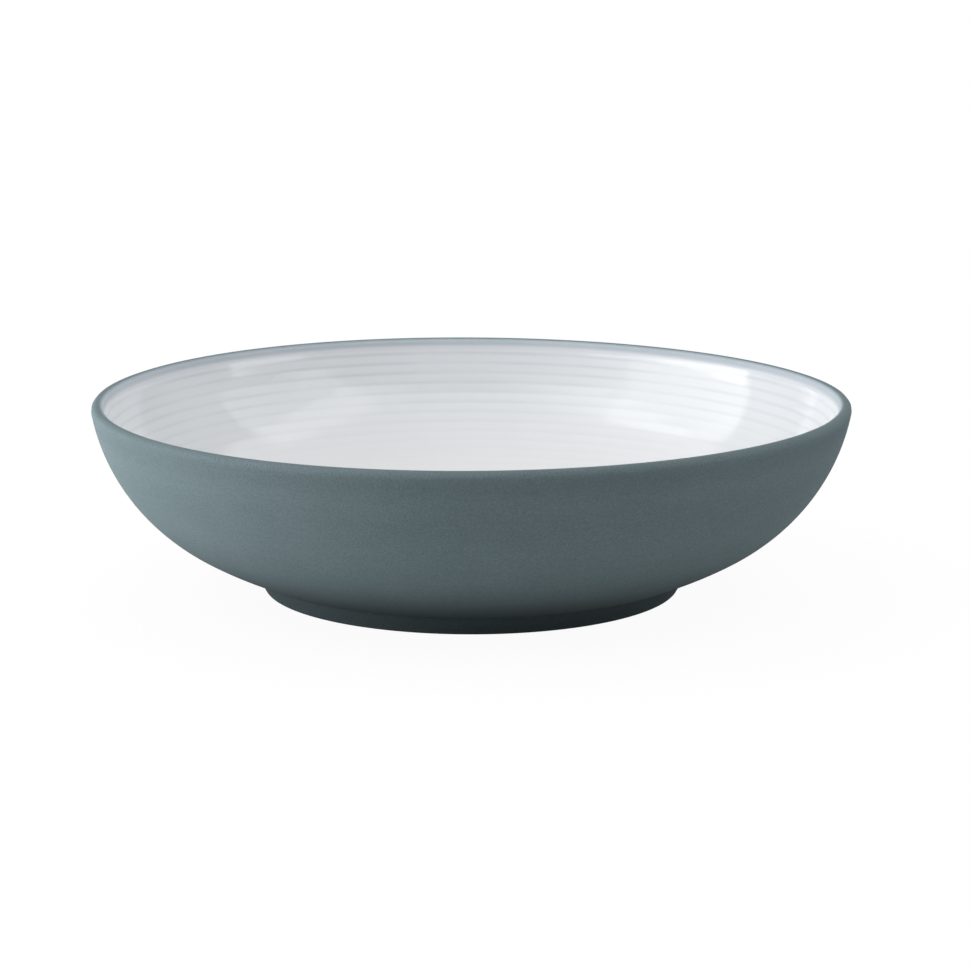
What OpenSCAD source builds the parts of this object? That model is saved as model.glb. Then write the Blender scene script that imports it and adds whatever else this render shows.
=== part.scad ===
// Low coupe bowl: one fired clay body on a foot ring, matt outside coat, glossy liner with throwing rings.
// Z is the wheel's axis and Z = 0 is the table. A lean is the angle between a surface and the level.

/* [Wall] */
// Diameter over the lip
bowl_d = 240; // [200:1:290]
// Height from the table to the crest of the lip
bowl_h = 61.4; // [48:0.2:80]
// Thickness of the rounded lip
lip_t = 4; // [3:0.1:6]
// Lean of the wall right under the lip
lip_lean = 80; // [74:1:86]
// Lean where the belly arc takes over, on a wall that climbs at the mean of its end leans
belly_lean = 31.5; // [26:0.5:50]
// Lean of the wall where it leaves the foot
haunch_lean = 19.5; // [12:0.5:22]
// How much tighter the inside arcs are, which thickens the wall towards the foot
wall_gain = 2; // [0:0.1:4]

/* [Floor] */
// Thickness of the floor at its centre
floor_t = 5.4; // [4.4:0.1:7]
// Lean of the inside wall where it starts to turn into the floor
well_lean = 24; // [18:0.5:28]

/* [Foot] */
// Diameter of the foot where it meets the wall
foot_top_d = 138.6; // [115:0.5:165]
// Diameter of the foot at the table
foot_d = 132; // [112:0.5:150]
// Height at which the foot meets the wall
foot_h = 5.9; // [4.8:0.1:7]
// Width of the foot's ring at the table, corners included
foot_w = 6.4; // [4:0.1:12]
// Height of the hollow under the floor
recess_h = 3.6; // [2:0.1:4.4]
// Draft of the ring's inner side, counted from the slope of its outer side
recess_draft = 41.5; // [20:0.5:60]
// Rounding of the two corners that stand on the table
foot_edge_r = 0.7; // [0.3:0.1:1.2]

/* [Coats] */
// Thickness of the matt coat outside
coat_t = 0.4; // [0.2:0.05:0.8]
// Thickness of the liner between the clay and the ridges of its rings
liner_t = 0.6; // [0.45:0.05:1]
// Height up to which the foot's edges are wiped bare
dry_h = 0.1; // [0.02:0.01:0.14]
// Place on the round of the lip where the coats meet, counted from straight down
coats_meet = 210; // [185:1:235]

/* [Throwing rings] */
// Height of the first ring, measured down the wall
ring_pitch = 3.36; // [2.5:0.01:6]
// How much wider each ring is than the one above it
ring_growth = 0.06; // [0.01:0.01:0.1]
// Depth of the shallow hollow between two ridges
ring_depth = 0.12; // [0.05:0.01:0.3]
// Plain band between the lip and the first ring
ring_start = 0.2; // [0.2:0.1:4]

/* [Hidden] */
$fn = 180;
// Largest gap between a true arc and the chords that stand for it
chord_gap = 0.01;
// Points across one throwing ring
ring_points = 6;
// Depth that is left of a ring at the middle of the floor
ring_fade_share = 0.4;

// Outward direction of a surface with lean a
function turn(a) = [sin(a), -cos(a)];

// Shift along an arc of unit radius from lean a to lean b
function sweep(a, b) = [sin(b) - sin(a), cos(a) - cos(b)];

// An arc is [centre, radius, first lean, last lean, side]: the clay is inside its circle (-1) or outside (1)
function steps(arc) = ceil(abs(arc[3] - arc[2]) / acos(1 - chord_gap / arc[1]) / 2);
function length_of(arc) = arc[1] * abs(arc[3] - arc[2]) * PI / 180;

// Point at a share of an arc, moved by t into the clay
function on(arc, share, t) = arc[0] + (arc[1] + arc[4] * t) * turn(arc[2] + (arc[3] - arc[2]) * share);

// Points of arcs that follow each other, without the very first
function along(arcs, t) = [for (arc = arcs) for (i = [1:steps(arc)]) on(arc, i / steps(arc), t)];

// The same for one arc where a coat of thickness t thins out to nothing at its start
function feather(arc, t) = [for (i = [1:steps(arc)]) on(arc, i / steps(arc), t * i / steps(arc))];

function reversed(list) = [for (i = [len(list) - 1:-1:0]) list[i]];

// Lip: half round, so the wall runs into it without a break
lip_r = lip_t / 2;
lip_c = [bowl_d / 2 - lip_r, bowl_h - lip_r];
lip_joint = lip_c + lip_r * turn(lip_lean);

// Outside of the wall: haunch and belly arcs share a tangent, and their radii follow from both ends.
// The leans that two arcs can meet at depend on how steeply the wall climbs from the foot to the lip.
crease = [foot_top_d / 2, foot_h];
climb = atan2(lip_joint[1] - crease[1], lip_joint[0] - crease[0]);
least_lean = max(haunch_lean, 2 * climb - lip_lean);
most_lean = min(lip_lean, 2 * climb - haunch_lean);
belly_share = (belly_lean - haunch_lean) / (lip_lean - haunch_lean);
meet_lean = least_lean + belly_share * (most_lean - least_lean);
haunch_sweep = sweep(haunch_lean, meet_lean);
belly_sweep = sweep(meet_lean, lip_lean);
wall_cross = cross(haunch_sweep, belly_sweep);
haunch_r = cross(lip_joint - crease, belly_sweep) / wall_cross;
belly_r = cross(haunch_sweep, lip_joint - crease) / wall_cross;
haunch_c = crease - haunch_r * turn(haunch_lean);
belly_c = haunch_c + (haunch_r - belly_r) * turn(meet_lean);

// Inside of the wall: the same arcs, tighter and moved out, so that they end on the round of the lip
in_shift = wall_gain * turn(lip_lean);
in_less = lip_t + wall_gain;
well_top = haunch_c + in_shift + (haunch_r - in_less) * turn(well_lean);

// Floor: a wide dish and the arc that joins it to the wall, again with a shared tangent
floor_mid = [0, recess_h + floor_t];
dish_lean = atan2(well_top[1] - floor_mid[1], well_top[0]);
dish_sweep = sweep(0, dish_lean);
well_sweep = sweep(dish_lean, well_lean);
floor_cross = cross(dish_sweep, well_sweep);
dish_r = cross(well_top - floor_mid, well_sweep) / floor_cross;
well_r = cross(dish_sweep, well_top - floor_mid) / floor_cross;
dish_c = floor_mid + [0, dish_r];
well_c = dish_c + (dish_r - well_r) * turn(dish_lean);

outer_arcs = [
    [haunch_c, haunch_r, haunch_lean, meet_lean, -1],
    [belly_c, belly_r, meet_lean, lip_lean, -1],
    [lip_c, lip_r, lip_lean, coats_meet, -1],
];
inner_lip = [lip_c, lip_r, coats_meet, lip_lean + 180, -1];
inner_arcs = [
    [belly_c + in_shift, belly_r - in_less, lip_lean, meet_lean, 1],
    [haunch_c + in_shift, haunch_r - in_less, meet_lean, well_lean, 1],
    [well_c, well_r, well_lean, dish_lean, 1],
    [dish_c, dish_r, dish_lean, 0, 1],
];

// Foot: the outer side slopes in towards the table, and the ring widens upwards by its draft
foot_slope = (foot_top_d - foot_d) / foot_h / 2;
in_slope = foot_slope - tan(recess_draft);
in_lean = atan2(1, in_slope);
foot_lean = atan2(1, foot_slope);
foot_turn = turn(foot_lean);
crease_mitre = (foot_turn + turn(haunch_lean)) / (1 + foot_turn * turn(haunch_lean));
function crease_in(t) = crease - t * crease_mitre;
function foot_out(t, z) = [foot_d / 2 + foot_slope * z - t / sin(foot_lean), z];
function foot_in(t, z) = [foot_d / 2 - foot_w + in_slope * z + t / sin(in_lean), z];

// Corners of the ring: bare up to the wiped edges, and coated from there to its sides
in_c = foot_in(foot_edge_r, foot_edge_r);
out_c = foot_out(foot_edge_r, foot_edge_r);
dry_lean = acos(1 - dry_h / foot_edge_r);
bare_in = [in_c, foot_edge_r, -dry_lean, 0, -1];
bare_out = [out_c, foot_edge_r, 0, dry_lean, -1];
coated_in = [in_c, foot_edge_r, -dry_lean, in_lean - 180, -1];
coated_out = [out_c, foot_edge_r, dry_lean, foot_lean, -1];

// Where the clay of the floor and wall sits on the clay of the ring
seat = crease_in(coat_t);
slab = foot_in(coat_t, recess_h + coat_t);
slab_top = [slab[0], seat[1]];

// Outlines of the finished faces, or of the clay t below them, from the wiped edges or the lip on
function outside(t) = concat(feather(coated_out, t), [crease_in(t)], along(outer_arcs, t));
function inside(t) = concat([on(inner_lip, 0, t)], along([inner_lip], t), along(inner_arcs, t));
function underside(t) = concat(feather(coated_in, t), [foot_in(t, recess_h + t), [0, recess_h + t]]);

// Point a run s down the inside from the lip, pressed t into the clay
function down(s, t, i = 0) =
    let (full = length_of(inner_arcs[i]))
    s > full && i < len(inner_arcs) - 1 ? down(s - full, t, i + 1) : on(inner_arcs[i], min(s / full, 1), t);

// Throwing rings: as many as the run from lip to axis has room for
inside_run = [for (arc = inner_arcs) length_of(arc)] * [for (arc = inner_arcs) 1];
function ring_top(k) = ring_start + ring_pitch * k + ring_growth * k * (k - 1) / 2;
even_pitch = ring_pitch - ring_growth / 2;
ring_reach = sqrt(even_pitch * even_pitch + 2 * ring_growth * (inside_run - ring_start));
rings = floor((ring_reach - even_pitch) / ring_growth);

// One throwing ring: a shallow hollow, deepest in the middle, between two ridges
function ring(k) =
    let (top = ring_top(k), tall = ring_top(k + 1) - top)
    let (depth = ring_depth * (1 - (1 - ring_fade_share) * top / inside_run))
    [for (i = [0:ring_points - 1]) down(top + tall * i / ring_points, depth * sin(180 * i / ring_points))];

function ringed() = concat(
    [on(inner_lip, 0, 0)],
    along([inner_lip], 0),
    [for (k = [0:rings - 1]) each ring(k)],
    [down(ring_top(rings), 0), floor_mid]
);

module stoneware_body() {
    color([0.72, 0.69, 0.64])
        rotate_extrude()
            polygon(concat(
                [[0, slab[1]], slab, slab_top, seat],
                along(outer_arcs, coat_t),
                inside(liner_t)
            ));
}

module foot_ring() {
    color([0.72, 0.69, 0.64])
        rotate_extrude()
            polygon(concat(
                reversed(feather(coated_in, coat_t)),
                [on(bare_in, 0, 0)],
                along([bare_in], 0),
                [on(bare_out, 0, 0)],
                along([bare_out], 0),
                feather(coated_out, coat_t),
                [seat, slab_top, slab]
            ));
}

module matt_outer_coat() {
    color([0.33, 0.40, 0.41])
        rotate_extrude()
            polygon(concat([on(coated_out, 0, 0)], outside(0), reversed(outside(coat_t))));
}

module underside_coat() {
    color([0.33, 0.40, 0.41])
        rotate_extrude()
            polygon(concat([on(coated_in, 0, 0)], underside(0), reversed(underside(coat_t))));
}

module gloss_liner() {
    color([0.93, 0.94, 0.94])
        rotate_extrude()
            polygon(concat(ringed(), reversed(inside(liner_t))));
}

stoneware_body();
foot_ring();
matt_outer_coat();
underside_coat();
gloss_liner();
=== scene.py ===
import math

import bmesh
import bpy
from mathutils import Matrix, Vector, noise


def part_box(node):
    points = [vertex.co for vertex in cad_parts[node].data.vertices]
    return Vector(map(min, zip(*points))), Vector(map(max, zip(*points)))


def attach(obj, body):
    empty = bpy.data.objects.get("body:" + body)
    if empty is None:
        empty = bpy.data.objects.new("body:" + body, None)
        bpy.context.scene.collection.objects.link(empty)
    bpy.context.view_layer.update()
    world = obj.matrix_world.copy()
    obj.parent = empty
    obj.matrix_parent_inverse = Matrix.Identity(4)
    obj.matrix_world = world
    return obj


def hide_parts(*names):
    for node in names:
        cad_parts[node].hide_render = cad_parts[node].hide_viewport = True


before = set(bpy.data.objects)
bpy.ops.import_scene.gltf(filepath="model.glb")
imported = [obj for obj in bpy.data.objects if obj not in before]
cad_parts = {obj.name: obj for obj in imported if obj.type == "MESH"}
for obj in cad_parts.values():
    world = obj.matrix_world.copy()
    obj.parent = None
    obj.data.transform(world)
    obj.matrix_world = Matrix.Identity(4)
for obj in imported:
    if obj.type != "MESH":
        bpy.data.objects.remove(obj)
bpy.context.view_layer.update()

# Sizes of the bowl in metres. A lean is the angle between a surface and the level, in radians.
MM = 0.001
coat_low, coat_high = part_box("matt_outer_coat")
lip_radius = min(coat_high.x, coat_high.y, -coat_low.x, -coat_low.y)
lip_round = 2 * MM

# The fired rim isn't quite level: it swings this far up and down, twice round the bowl.
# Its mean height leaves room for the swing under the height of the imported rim.
rim_swing = 0.32 * MM
swing_room = 0.4 * MM
lip_crest = coat_high.z - swing_room

# Wall and floor
lip_lean = math.radians(80)
haunch_lean = math.radians(19.5)
meet_lean = math.radians(30.1)
well_lean = math.radians(24)
wall_gain = 2 * MM
floor_thick = 5.4 * MM

# Foot
foot_top = Vector((69.3, 5.9)) * MM
foot_radius = 66 * MM
foot_width = 6.4 * MM
foot_edge = 0.7 * MM
recess_height = 3.6 * MM
recess_draft = math.radians(41.5)

# Coats
coat_thick = 0.4 * MM
liner_thick = 0.6 * MM
dry_height = 0.1 * MM
coats_meet = math.radians(210)

# Throwing rings, measured down the inside from the lip. Their depth differs from place to place:
# it is its base share and what a slow noise adds, which wanders round the bowl and from ring to ring.
ring_start = 0.2 * MM
ring_pitch = 3.36 * MM
ring_growth = 0.06 * MM
ring_depth = 0.05 * MM
ring_fade_share = 0.4
ring_base_share = 0.7
ring_noise_share = 1.3
ring_noise_round = 1.3
ring_noise_apart = 7.7

# Fineness of the meshes. A point nearer to the axis than the last length is on it.
turns_round = 300
fine_step = 0.45 * MM
coarse_step = 1.2 * MM
edge_step = 0.1 * MM
hard_edge = math.radians(50)
axis_reach = 0.001 * MM


def outward(lean):
    """Direction, in radius and height, that a surface with this lean faces."""
    return Vector((math.sin(lean), -math.cos(lean)))


def sweep(first, last):
    """Shift along an arc of unit radius between two leans."""
    return Vector((math.sin(last) - math.sin(first), math.cos(first) - math.cos(last)))


def two_radii(start, end, first, meet, last):
    """Radii of two arcs from start to end that share a tangent where they meet."""
    lower = sweep(first, meet)
    upper = sweep(meet, last)
    crossing = lower.cross(upper)
    chord = end - start
    return chord.cross(upper) / crossing, lower.cross(chord) / crossing


class Arc:
    """An arc of the bowl's section between two leans. The clay is inside (-1) or outside (1) its circle."""

    def __init__(self, centre, radius, first, last, side):
        self.centre = centre
        self.radius = radius
        self.first = first
        self.last = last
        self.side = side
        self.length = radius * abs(last - first)

    def at(self, share, depth=0.0):
        lean = self.first + (self.last - self.first) * share
        return self.centre + (self.radius + self.side * depth) * outward(lean)

    def points(self, depth, step, skip_first=True):
        count = max(2, math.ceil(self.length / step))
        return [self.at(i / count, depth) for i in range(1 if skip_first else 0, count + 1)]


def along(arcs, depth, step):
    return [point for arc in arcs for point in arc.points(depth, step)]


# Section of the bowl
lip_centre = Vector((lip_radius - lip_round, lip_crest - lip_round))
lip_joint = lip_centre + lip_round * outward(lip_lean)
haunch_radius, belly_radius = two_radii(foot_top, lip_joint, haunch_lean, meet_lean, lip_lean)
haunch_centre = foot_top - haunch_radius * outward(haunch_lean)
belly_centre = haunch_centre + (haunch_radius - belly_radius) * outward(meet_lean)
in_shift = wall_gain * outward(lip_lean)
in_less = 2 * lip_round + wall_gain
well_top = haunch_centre + in_shift + (haunch_radius - in_less) * outward(well_lean)
floor_middle = Vector((0, recess_height + floor_thick))
dish_lean = math.atan2(well_top.y - floor_middle.y, well_top.x)
dish_radius, well_radius = two_radii(floor_middle, well_top, 0, dish_lean, well_lean)
dish_centre = floor_middle + Vector((0, dish_radius))
well_centre = dish_centre + (dish_radius - well_radius) * outward(dish_lean)

outer_wall = [
    Arc(haunch_centre, haunch_radius, haunch_lean, meet_lean, -1),
    Arc(belly_centre, belly_radius, meet_lean, lip_lean, -1),
    Arc(lip_centre, lip_round, lip_lean, coats_meet, -1),
]
inner_lip = Arc(lip_centre, lip_round, coats_meet, lip_lean + math.pi, -1)
inner_wall = [
    Arc(belly_centre + in_shift, belly_radius - in_less, lip_lean, meet_lean, 1),
    Arc(haunch_centre + in_shift, haunch_radius - in_less, meet_lean, well_lean, 1),
    Arc(well_centre, well_radius, well_lean, dish_lean, 1),
    Arc(dish_centre, dish_radius, dish_lean, 0, 1),
]

# Section of the foot
foot_slope = (foot_top.x - foot_radius) / foot_top.y
foot_lean = math.atan2(1, foot_slope)
in_slope = foot_slope - math.tan(recess_draft)
in_lean = math.atan2(1, in_slope)
mitre = (outward(foot_lean) + outward(haunch_lean)) / (1 + outward(foot_lean).dot(outward(haunch_lean)))


def crease_in(depth):
    return foot_top - depth * mitre


def foot_out(depth, height):
    return Vector((foot_radius + foot_slope * height - depth / math.sin(foot_lean), height))


def foot_in(depth, height):
    return Vector((foot_radius - foot_width + in_slope * height + depth / math.sin(in_lean), height))


# Corners of the foot's ring: bare up to the wiped edges, and coated from there to its sides
in_centre = foot_in(foot_edge, foot_edge)
out_centre = foot_out(foot_edge, foot_edge)
dry_lean = math.acos(1 - dry_height / foot_edge)
bare_in = Arc(in_centre, foot_edge, -dry_lean, 0, -1)
bare_out = Arc(out_centre, foot_edge, 0, dry_lean, -1)
coated_in = Arc(in_centre, foot_edge, -dry_lean, in_lean - math.pi, -1)
coated_out = Arc(out_centre, foot_edge, dry_lean, foot_lean, -1)


def feathered(arc, depth):
    """Points under a coat that thins out to nothing at the start of an arc, with that start."""
    count = max(2, math.ceil(arc.length / edge_step))
    return [arc.at(i / count, depth * i / count) for i in range(count + 1)]


def straight(start, end, step):
    """Points from start to end, without the first."""
    count = max(1, math.ceil((end - start).length / step))
    return [start.lerp(end, i / count) for i in range(1, count + 1)]


# Meshes turned about the wheel's axis
def run_of(points):
    """Distance run along a section, for a finish that follows the profile."""
    runs = [0.0]
    for before, after in zip(points, points[1:]):
        runs.append(runs[-1] + (after - before).length)
    return runs


def swung(spot, angle):
    """A point of the section where the fired rim carries it: fully at the lip, not at all at the foot."""
    share = max(spot.y - foot_top.y, 0) / (lip_crest - foot_top.y)
    return spot - Vector((0, rim_swing * math.sin(2 * angle) * share * share))


def turned(name, outline, runs, relief=None):
    """Turns a section into a closed mesh. Its ends on the axis become poles, and the finishes get its run."""
    mesh = bpy.data.meshes.new(name)
    piece = bpy.data.objects.new(name, mesh)
    bpy.context.scene.collection.objects.link(piece)
    form = bmesh.new()
    run_layer = form.verts.layers.float.new("run")
    rows = []
    for k, (point, run) in enumerate(zip(outline, runs)):
        on_axis = point.x < axis_reach
        row = []
        for i in range(1 if on_axis else turns_round):
            angle = 2 * math.pi * i / turns_round
            spot = swung(point if relief is None else relief(k, angle), angle)
            corner = form.verts.new((spot.x * math.cos(angle), spot.x * math.sin(angle), spot.y))
            corner[run_layer] = run
            row.append(corner)
        rows.append(row)
    for lower, upper in zip(rows, rows[1:] + rows[:1]):
        for i in range(turns_round):
            j = (i + 1) % turns_round
            if len(lower) == 1 and len(upper) == 1:
                break
            if len(lower) == 1:
                form.faces.new((lower[0], upper[j], upper[i]))
            elif len(upper) == 1:
                form.faces.new((lower[i], lower[j], upper[0]))
            else:
                form.faces.new((lower[i], lower[j], upper[j], upper[i]))
    bmesh.ops.recalc_face_normals(form, faces=form.faces)
    for face in form.faces:
        face.smooth = True
    form.to_mesh(mesh)
    form.free()
    mesh.set_sharp_from_angle(angle=hard_edge)
    return piece


inside_run = sum(arc.length for arc in inner_wall)


def ring_place(run):
    """Which throwing ring a run down the inside is in, and how far down that ring."""
    even = ring_pitch - ring_growth / 2
    ahead = max(run - ring_start, 0.0)
    count = (math.sqrt(even * even + 2 * ring_growth * ahead) - even) / ring_growth
    return math.floor(count), count - math.floor(count)


def make_outer_coat():
    outer = feathered(coated_out, 0)
    outer += straight(outer[-1], foot_top, coarse_step)
    outer += along(outer_wall, 0, coarse_step)
    inner = feathered(coated_out, coat_thick)[1:] + [crease_in(coat_thick)]
    inner += along(outer_wall, coat_thick, 3 * coarse_step)
    inner.reverse()
    runs = run_of(outer)
    return turned("matt_outer_coat_finish", outer + inner, runs + [runs[-1]] * len(inner))


def make_liner():
    lip = inner_lip.points(0, fine_step, skip_first=False)
    top = lip + along(inner_wall[:2], 0, fine_step) + along(inner_wall[2:], 0, 2 * fine_step)
    under = inner_lip.points(liner_thick, coarse_step, skip_first=False)
    under += along(inner_wall, liner_thick, 3 * coarse_step)
    under.reverse()
    lip_run = run_of(lip)[-1]
    runs = [run - lip_run for run in run_of(top)]
    outline = top + under
    facing = []
    for k, point in enumerate(top):
        before = top[max(k - 1, 0)]
        after = top[min(k + 1, len(top) - 1)]
        way = (after - before).normalized()
        facing.append(Vector((way.y, -way.x)))

    def relief(k, angle):
        if k >= len(top) or runs[k] < ring_start or outline[k].x < axis_reach:
            return outline[k]
        ring, share = ring_place(runs[k])
        depth = ring_depth * (1 - (1 - ring_fade_share) * runs[k] / inside_run)
        x = math.cos(angle) * ring_noise_round
        y = math.sin(angle) * ring_noise_round
        depth *= ring_base_share + ring_noise_share * noise.noise(Vector((x, y, ring * ring_noise_apart)))
        return outline[k] + facing[k] * depth * math.sin(math.pi * share)

    return turned("gloss_liner_finish", outline, runs + [runs[-1]] * len(under), relief)


def make_body():
    seat = crease_in(coat_thick)
    slab = foot_in(coat_thick, recess_height + coat_thick)
    outline = [Vector((0, slab.y)), slab, Vector((slab.x, seat.y)), seat]
    outline += along(outer_wall, coat_thick, 3 * coarse_step)
    outline += inner_lip.points(liner_thick, coarse_step, skip_first=False)
    outline += along(inner_wall, liner_thick, 3 * coarse_step)
    return turned("stoneware_body_finish", outline, run_of(outline))


def make_foot():
    outline = feathered(coated_in, coat_thick)
    outline.reverse()
    outline += bare_in.points(0, edge_step)
    outline += straight(outline[-1], bare_out.at(0), coarse_step)
    outline += bare_out.points(0, edge_step)
    outline += feathered(coated_out, coat_thick)[1:]
    seat = crease_in(coat_thick)
    slab = foot_in(coat_thick, recess_height + coat_thick)
    outline += [seat, Vector((slab.x, seat.y)), slab]
    return turned("foot_ring_finish", outline, run_of(outline))


def make_underside_coat():
    face = feathered(coated_in, 0)
    face.append(foot_in(0, recess_height))
    face += straight(face[-1], Vector((0, recess_height)), 2 * coarse_step)
    back = feathered(coated_in, coat_thick)[1:]
    back += [foot_in(coat_thick, recess_height + coat_thick), Vector((0, recess_height + coat_thick))]
    back.reverse()
    outline = face + back
    return turned("underside_coat_finish", outline, run_of(outline))


# Finishes built from expressions
class Amount:
    """A socket's value. Python's operators on it add Math nodes."""

    def __init__(self, nodes, socket):
        self.nodes = nodes
        self.socket = socket

    def math(self, operation, *others, clamp=False):
        settings = {"operation": operation, "use_clamp": clamp}
        return self.nodes.add("ShaderNodeMath", settings, dict(enumerate((self,) + others)))

    def reflected(self, operation, first):
        return self.nodes.add("ShaderNodeMath", {"operation": operation}, {0: first, 1: self})

    def __add__(self, other):
        return self.math("ADD", other)

    __radd__ = __add__

    def __mul__(self, other):
        return self.math("MULTIPLY", other)

    __rmul__ = __mul__

    def __sub__(self, other):
        return self.math("SUBTRACT", other)

    def __rsub__(self, other):
        return self.reflected("SUBTRACT", other)

    def __truediv__(self, other):
        return self.math("DIVIDE", other)

    def __rtruediv__(self, other):
        return self.reflected("DIVIDE", other)

    def held(self):
        """The value kept between 0 and 1."""
        return self.math("ADD", 0.0, clamp=True)

    def between(self, low, high):
        """0 up to low, 1 from high, and smooth in between. A low above high turns it round."""
        ends = (1.0, 0.0) if low > high else (0.0, 1.0)
        low, high = min(low, high), max(low, high)
        inputs = {"Value": self, "From Min": low, "From Max": high, "To Min": ends[0], "To Max": ends[1]}
        return self.nodes.add("ShaderNodeMapRange", {"interpolation_type": "SMOOTHSTEP"}, inputs)


class Nodes:
    """Adds nodes to the tree of a material or a world."""

    def __init__(self, tree):
        self.tree = tree

    def add(self, kind, settings=None, inputs=None, output=0):
        """A node of this kind: its settings first, then the values or links of its sockets."""
        node = self.tree.nodes.new(kind)
        for setting, value in (settings or {}).items():
            setattr(node, setting, value)
        for socket, value in (inputs or {}).items():
            self.set(node.inputs[socket], value)
        return Amount(self, node.outputs[output])

    def set(self, socket, value):
        if isinstance(value, Amount):
            self.tree.links.new(value.socket, socket)
        else:
            socket.default_value = value

    def ray(self, kind):
        """1 for rays of this kind, and 0 for all others."""
        return self.add("ShaderNodeLightPath", output=f"Is {kind} Ray")


class Finish(Nodes):
    """A procedural material."""

    def __init__(self, name):
        self.material = bpy.data.materials.new(name)
        self.material.use_nodes = True
        super().__init__(self.material.node_tree)
        self.shader = self.tree.nodes["Principled BSDF"]
        self.output = self.tree.nodes["Material Output"]

    def give(self, **inputs):
        """Sets or links sockets of the main shader, named with _ for a space."""
        for name, value in inputs.items():
            self.set(self.shader.inputs[name.replace("_", " ")], value)

    def place(self):
        return self.add("ShaderNodeTexCoord", output="Object")

    def run(self):
        """Distance run along the profile, in metres."""
        settings = {"attribute_name": "run", "attribute_type": "GEOMETRY"}
        return self.add("ShaderNodeAttribute", settings, output="Fac")

    def polar(self, run_scale):
        """Coordinates that change this many times faster along the profile than round the bowl."""
        place = self.place()
        x = self.add("ShaderNodeSeparateXYZ", None, {0: place}, output="X")
        y = self.add("ShaderNodeSeparateXYZ", None, {0: place}, output="Y")
        return self.add("ShaderNodeCombineXYZ", None, {"X": x, "Y": y, "Z": self.run() * run_scale})

    def grain(self, where, scale, detail, roughness):
        inputs = {"Vector": where, "Scale": scale, "Detail": detail, "Roughness": roughness}
        return self.add("ShaderNodeTexNoise", {"noise_dimensions": "3D"}, inputs)

    def blend(self, share, first, second):
        """A colour between two: the first at 0, the second at 1."""
        return self.add("ShaderNodeMix", {"data_type": "RGBA"}, {0: share, 6: first, 7: second}, output=2)

    def bump(self, height, distance, strength):
        inputs = {"Height": height, "Distance": distance, "Strength": strength}
        return self.add("ShaderNodeBump", None, inputs)


def linear(red, green, blue):
    """A colour as it is read off a screen, in the renderer's linear values."""
    def channel(value):
        value /= 255
        return value / 12.92 if value <= 0.04045 else ((value + 0.055) / 1.055) ** 2.4
    return (channel(red), channel(green), channel(blue), 1.0)


def matt_slate():
    """The matt coat: finely speckled, with faint turning lines, and with painted shade darkening it towards
    the foot and towards the lip. Runs are in millimetres from the foot's
    wiped edge: the foot's side ends at about 7, and the crest of the lip is at about 87."""
    # Speckled between the first two colours; the third is the colour that the painted shade darkens towards.
    dark_slate = linear(101, 119, 123)
    pale_slate = linear(145, 163, 168)
    painted_shade_slate = linear(46, 57, 61)
    finish = Finish("matt_slate")
    place = finish.place()
    run = finish.run() / MM
    speckle = finish.grain(place, scale=2000, detail=3.0, roughness=0.6)
    cloud = finish.grain(place, scale=45, detail=3.0, roughness=0.55)
    lines = finish.grain(finish.polar(14), scale=55, detail=3.0, roughness=0.6)
    tone = (speckle - 0.5) * 1.3 + (cloud - 0.5) * 0.2 + (lines - 0.5) * 0.15 + 0.5
    colour = finish.blend(tone.held(), dark_slate, pale_slate)

    # Painted shade: the coat darkens from about 46 down to the foot's crease, and a little less on the foot's
    # side.
    painted_shade_to_foot = run.between(46.0, 8.0) * 0.72
    less_painted_shade_on_foot_side = run.between(7.2, 6.2) * 0.12
    # Painted shade towards the lip and on the lip's outer round, taken off again past the crest.
    painted_shade_to_lip = run.between(52.0, 72.0) * 0.15 + run.between(74.0, 82.0) * 0.12
    painted_shade_on_lip = run.between(84.5, 87.0) * 0.22
    less_painted_shade_past_crest = run.between(87.4, 88.4) * 0.5
    shade = painted_shade_to_foot - less_painted_shade_on_foot_side + painted_shade_to_lip + painted_shade_on_lip - less_painted_shade_past_crest
    colour = finish.blend(shade, colour, painted_shade_slate)

    finish.give(Base_Color=colour, Roughness=0.8, Specular_IOR_Level=0.12)
    height = speckle * 0.85 + lines * 0.15
    finish.give(Normal=finish.bump(height, distance=0.05 * MM, strength=0.35))
    return finish.material


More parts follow.
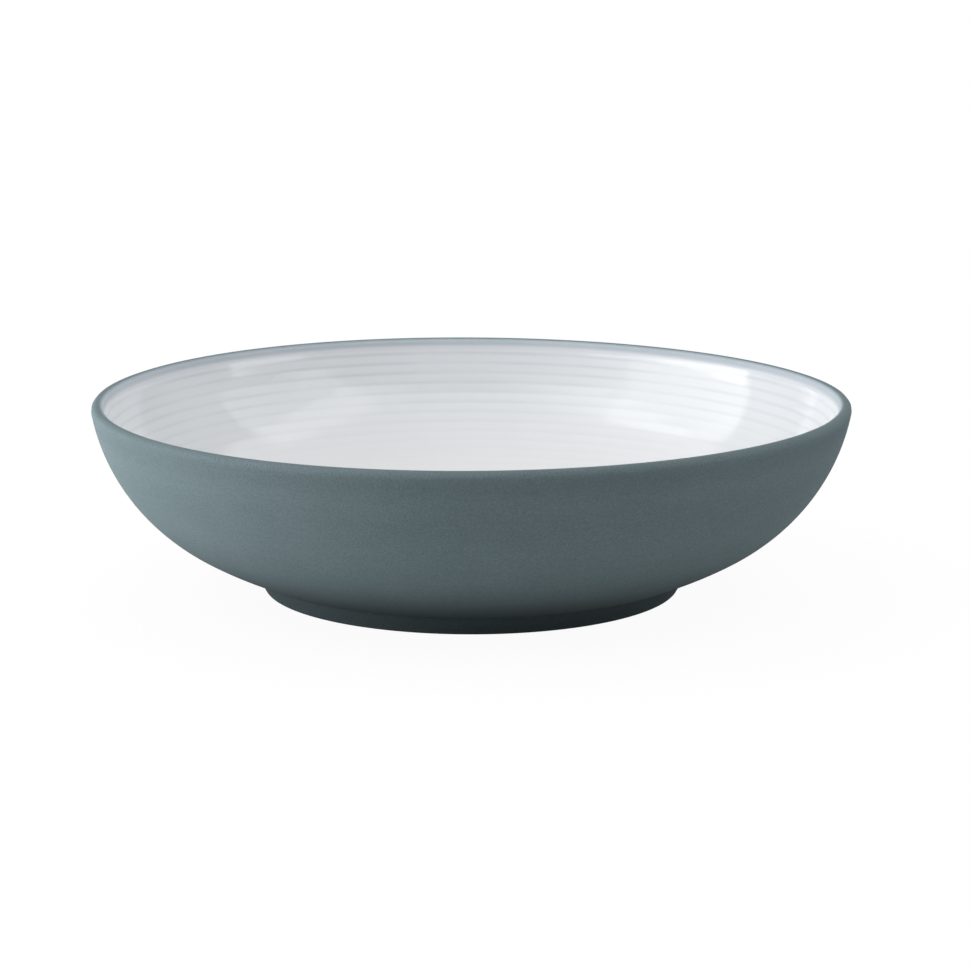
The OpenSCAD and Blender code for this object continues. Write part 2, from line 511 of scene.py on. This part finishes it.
def gloss_white():
    """The glaze: white and glossy, thin at the lip and on the rings' ridges, with painted shade greying it
    towards the floor of the well and at the lip's inner edge. Runs are in millimetres down from the lip, and
    the round of the lip itself is below zero."""
    clean_white = linear(229, 232, 235)
    cloudy_white = linear(224, 227, 230)
    painted_shade_grey = linear(214, 214, 215)
    ridge_blue = linear(176, 189, 198)
    thin_blue = linear(146, 159, 171)
    lip_slate = linear(112, 128, 134)
    finish = Finish("gloss_white")
    run = finish.run() / MM
    cloud = finish.grain(finish.place(), scale=30, detail=2.0, roughness=0.5)
    colour = finish.blend((cloud - 0.35).held(), clean_white, cloudy_white)
    # Painted shade: the glaze greys down towards the floor of the well.
    painted_shade_to_floor = run.between(12.0, 60.0) * 0.95
    colour = finish.blend(painted_shade_to_floor, colour, painted_shade_grey)

    # The same count of rings as in ring_place
    growth = ring_growth / MM
    even_pitch = (ring_pitch - ring_growth / 2) / MM
    ahead = (run - ring_start / MM).math("MAXIMUM", 0.0)
    count = ((ahead * (2 * growth) + even_pitch * even_pitch).math("SQRT") - even_pitch) / growth
    from_hollow = (count.math("FRACT") - 0.5).math("ABSOLUTE") * 2
    ridge = from_hollow.between(0.45, 1.0)
    near_lip = run.between(46.0, 2.0)
    patches = finish.grain(finish.polar(3), scale=24, detail=2.0, roughness=0.5).between(0.3, 0.62)
    worn = (ridge * near_lip * (patches * 0.7 + 0.3)).held() * 0.28
    colour = finish.blend(worn, colour, ridge_blue)

    thin_at_lip = run.between(2.6, -0.6) * 0.6
    colour = finish.blend(thin_at_lip, colour, thin_blue)
    # Darker in the first millimetre of glaze by the coat: slate showing through where the glaze is thin, with
    # painted shade at the lip's inner edge.
    over_coat_and_painted_shade = run.between(-0.7, -1.7) * 0.6
    colour = finish.blend(over_coat_and_painted_shade, colour, lip_slate)
    duller_at_lip = run.between(2.2, 0.4) * 0.75
    finish.give(Base_Color=colour, Roughness=duller_at_lip + 0.09, IOR=1.5)
    return finish.material


def bare_clay():
    """The fired clay: sandy and dry."""
    dark_clay = linear(176, 166, 152)
    pale_clay = linear(222, 214, 201)
    finish = Finish("bare_clay")
    place = finish.place()
    sand = finish.grain(place, scale=1800, detail=4.0, roughness=0.65)
    cloud = finish.grain(place, scale=60, detail=2.0, roughness=0.5)
    tone = ((sand - 0.5) * 0.8 + (cloud - 0.5) * 0.5 + 0.5).held()
    colour = finish.blend(tone, dark_clay, pale_clay)
    finish.give(Base_Color=colour, Roughness=0.9, Specular_IOR_Level=0.25)
    finish.give(Normal=finish.bump(sand, distance=0.08 * MM, strength=0.5))
    return finish.material


def dress(piece, node, material):
    piece.data.materials.append(material)
    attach(piece, "root")
    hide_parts(node)


slate = matt_slate()
white = gloss_white()
clay = bare_clay()
dress(make_outer_coat(), "matt_outer_coat", slate)
dress(make_liner(), "gloss_liner", white)
dress(make_body(), "stoneware_body", clay)
dress(make_foot(), "foot_ring", clay)
dress(make_underside_coat(), "underside_coat", slate)


# Floor and surroundings
def floor():
    """A level floor just under the foot. The camera sees it white, with the bowl's shadow near the bowl."""
    half_width = 6
    drop = 0.05 * MM
    shadow_radius = 0.3
    white_radius = 1.2
    white_near = 0.95
    seen_grey = (0.95, 0.95, 0.95, 1)
    lighting_grey = (0.45, 0.45, 0.45, 1)
    mesh = bpy.data.meshes.new("floor")
    form = bmesh.new()
    under_foot = Matrix.Translation((0, 0, -drop))
    bmesh.ops.create_grid(form, x_segments=8, y_segments=8, size=half_width, matrix=under_foot)
    form.to_mesh(mesh)
    form.free()
    piece = bpy.data.objects.new("floor", mesh)
    bpy.context.scene.collection.objects.link(piece)

    finish = Finish("pale_floor")
    seen = finish.ray("Camera")
    mirrored = finish.ray("Glossy") + finish.ray("Transmission")
    shade = finish.blend(seen, lighting_grey, seen_grey)
    finish.give(Base_Color=shade, Roughness=0.9, Specular_IOR_Level=0.0)
    reach = finish.add("ShaderNodeVectorMath", {"operation": "LENGTH"}, {0: finish.place()}, output="Value")
    white_share = reach.between(shadow_radius, white_radius) * (1 - white_near) + white_near
    share = (seen * white_share + mirrored * 0.5).held()
    lit = Amount(finish, finish.shader.outputs[0])
    glow = finish.add("ShaderNodeEmission", None, {"Color": (1, 1, 1, 1), "Strength": 1.0})
    surface = finish.add("ShaderNodeMixShader", None, {0: share, 1: lit, 2: glow})
    finish.set(finish.output.inputs["Surface"], surface)
    mesh.materials.append(finish.material)


def white_world():
    """White for the camera, and a faint glow for the bowl."""
    glow = 0.05
    world = bpy.data.worlds.new("studio")
    bpy.context.scene.world = world
    world.use_nodes = True
    nodes = Nodes(world.node_tree)
    background = world.node_tree.nodes["Background"]
    nodes.set(background.inputs["Color"], (1, 1, 1, 1))
    nodes.set(background.inputs["Strength"], nodes.ray("Camera") * (1 - glow) + glow)


# Lights and camera
bowl_middle = Vector((0, 0, 30 * MM))


def aimed(thing, place, target, roll=0.0):
    way = (Vector(target) - Vector(place)).to_track_quat("-Z", "Y")
    thing.matrix_world = Matrix.Translation(place) @ way.to_matrix().to_4x4() @ Matrix.Rotation(roll, 4, "Z")


def softbox(name, place, target, width, height, radiance, roll=0.0):
    """A rectangular lamp whose face has this radiance, where 1 is white."""
    lamp = bpy.data.lights.new(name, "AREA")
    lamp.shape = "RECTANGLE"
    lamp.size = width
    lamp.size_y = height
    lamp.energy = radiance * math.pi * width * height
    thing = bpy.data.objects.new(name, lamp)
    bpy.context.scene.collection.objects.link(thing)
    aimed(thing, place, target, roll)


def key_layer(front, radiance):
    """One layer of the key light, a metre away on the left. All layers end at the same line at the back,
    which the glaze mirrors as a sharp edge. Each starts elsewhere at the front, where the key fades in."""
    low, high, back = -0.25, 0.65, 0.566
    lean = math.radians(19.7)
    way = Vector((-0.913, -0.161, 0.375)).normalized()
    to_back = Vector((-0.174, 0.985, 0)).normalized()
    up = to_back.cross(way)
    across = math.cos(lean) * to_back - math.sin(lean) * up
    along_edge = math.sin(lean) * to_back + math.cos(lean) * up
    place = bowl_middle + way + (front + back) / 2 * across + (low + high) / 2 * along_edge
    softbox("key", place, place - way, back - front, high - low, radiance, lean)


def camera():
    """The photograph's view: its width and lens in pixels, and how far its frame is shifted."""
    picture = 970
    lens_pixels = 3143
    aside_pixels = 13.6
    up_pixels = 6.9
    elevation = math.radians(11.93)
    distance = 1.0044
    view = bpy.data.cameras.new("camera")
    view.sensor_width = 36
    view.lens = view.sensor_width * lens_pixels / picture
    view.shift_x = aside_pixels / picture
    view.shift_y = up_pixels / picture
    thing = bpy.data.objects.new("camera", view)
    bpy.context.scene.collection.objects.link(thing)
    place = bowl_middle + distance * Vector((0, -math.cos(elevation), math.sin(elevation)))
    aimed(thing, place, bowl_middle)
    bpy.context.scene.camera = thing


floor()
white_world()
key_layer(-0.9, 0.15)
key_layer(-0.72, 0.25)
key_layer(-0.55, 0.45)
key_layer(-0.35, 1.35)
# Name, place, target, width, height and radiance
softbox("low_left", (-1.8, -0.1, 0.25), (0, -0.1, 0.25), 1.16, 0.5, 2.8)
softbox("low_front", (-1.8, -1.3, 0.25), (0, 0, 0.25), 1.2, 0.5, 3.0)
softbox("table_card", (-0.485, 0, 0.004), (-0.485, 0, 1), 0.53, 0.7, 3.0)
softbox("low_right", (1.8, -0.5, 0.3), (0, 0, 0.05), 1.0, 0.5, 2.2)
softbox("right_top", (1.08, -0.22, 1.0), bowl_middle, 1.2, 0.9, 1.15)
softbox("back_high", (0, 2.0, 1.5), bowl_middle, 1.6, 1.0, 1.2)
softbox("backdrop", (0, 3.6, 0.9), (0, 0, 0.9), 5.2, 1.8, 1.0)
softbox("ceiling", (0, 0.1, 1.5), (0, 0.1, 0), 3.0, 3.0, 1.25)
camera()
bpy.context.scene.view_settings.view_transform = "Standard"
